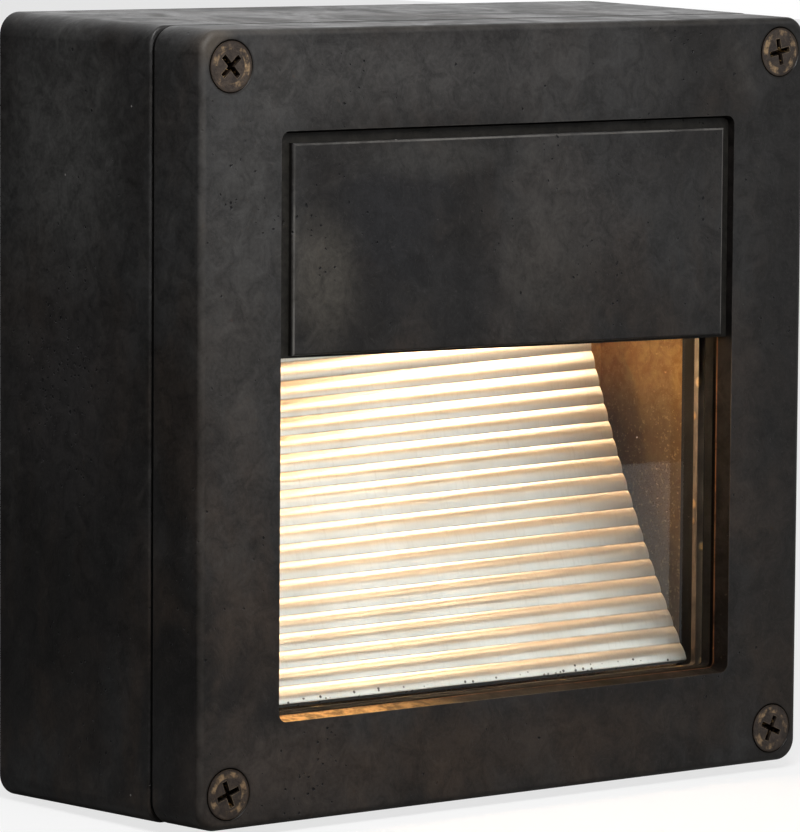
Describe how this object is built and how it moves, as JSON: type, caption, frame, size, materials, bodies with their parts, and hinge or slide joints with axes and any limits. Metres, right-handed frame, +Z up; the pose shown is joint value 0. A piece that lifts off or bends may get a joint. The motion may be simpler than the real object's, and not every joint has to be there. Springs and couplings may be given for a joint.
{
  "type": "outdoor wall downlight",
  "caption": "Square cast wall light that throws its light down through a window, with a ribbed reflector, a capsule lamp and a screwed front cover.",
  "frame": {"origin": "middle of the flat face that lies on the wall", "axes": "+Z up, +Y into the wall, the window looks along -Y"},
  "size_m": [0.1682, 0.07, 0.1682],
  "materials": {
    "cast_bronze": "dark patinated casting",
    "sheet_bright": "bright anodised, ribbed",
    "screw_brass": "tarnished with bright rims",
    "small_screws": "zinc plated",
    "rubber_black": "matt",
    "glass_clear": "clear, polished",
    "sealant": "golden silicone, satin",
    "ceramic_white": "unglazed, matt",
    "bracket_steel": "zinc plated sheet",
    "lamp_glass": "clear quartz",
    "lamp_wire": "tungsten wire",
    "block_plastic": "off-white polyamide",
    "terminal_brass": "bright",
    "tinned_copper": "tinned, satin",
    "lead_brown": "silicone insulation",
    "lead_blue": "silicone insulation",
    "lead_green_yellow": "silicone insulation"
  },
  "bodies": {
    "box": {"back_box": "cast_bronze", "box_gasket": "rubber_black", "cable_grommet": "rubber_black", "terminal_block": "block_plastic", "terminal_clamp_screws": "terminal_brass", "terminal_block_screw": "small_screws", "earth_screw": "terminal_brass", "earth_washer": "terminal_brass", "earth_lug": "tinned_copper", "lampholder": "ceramic_white", "lampholder_screws": "small_screws", "lampholder_bracket": "bracket_steel", "bracket_screw": "small_screws", "reflector": "sheet_bright", "reflector_screws": "small_screws", "live_lead": "lead_brown", "neutral_lead": "lead_blue", "earth_lead": "lead_green_yellow"},
    "cover": {"front_cover": "cast_bronze", "shade_plate": "cast_bronze", "shade_screws": "small_screws", "window_glass": "glass_clear", "glass_gasket": "rubber_black", "glass_sealant": "sealant"},
    "lamp": {"lamp_envelope": "lamp_glass", "lamp_filament": "lamp_wire", "lamp_pinch": "lamp_glass", "lamp_pins": "lamp_wire"},
    "cover_screw_top_left": {"cover_screw_top_left": "screw_brass"},
    "cover_screw_top_right": {"cover_screw_top_right": "screw_brass"},
    "cover_screw_bottom_left": {"cover_screw_bottom_left": "screw_brass"},
    "cover_screw_bottom_right": {"cover_screw_bottom_right": "screw_brass"}
  },
  "joints": [
    {"name": "cover_slide", "type": "slide", "parent": "box", "child": "cover", "axis": [0, -1, 0], "range_m": [0, 0.08]},
    {"name": "lamp_pull", "type": "slide", "parent": "box", "child": "lamp", "axis": [-1, 0, 0], "range_m": [0, 0.012]},
    {"name": "turn_screw_top_left", "type": "hinge", "parent": "cover", "child": "cover_screw_top_left", "pos_m": [-0.075, 0, 0.075], "axis": [0, -1, 0], "continuous": true},
    {"name": "turn_screw_top_right", "type": "hinge", "parent": "cover", "child": "cover_screw_top_right", "pos_m": [0.075, 0, 0.075], "axis": [0, -1, 0], "continuous": true},
    {"name": "turn_screw_bottom_left", "type": "hinge", "parent": "cover", "child": "cover_screw_bottom_left", "pos_m": [-0.075, 0, -0.075], "axis": [0, -1, 0], "continuous": true},
    {"name": "turn_screw_bottom_right", "type": "hinge", "parent": "cover", "child": "cover_screw_bottom_right", "pos_m": [0.075, 0, -0.075], "axis": [0, -1, 0], "continuous": true}
  ]
}
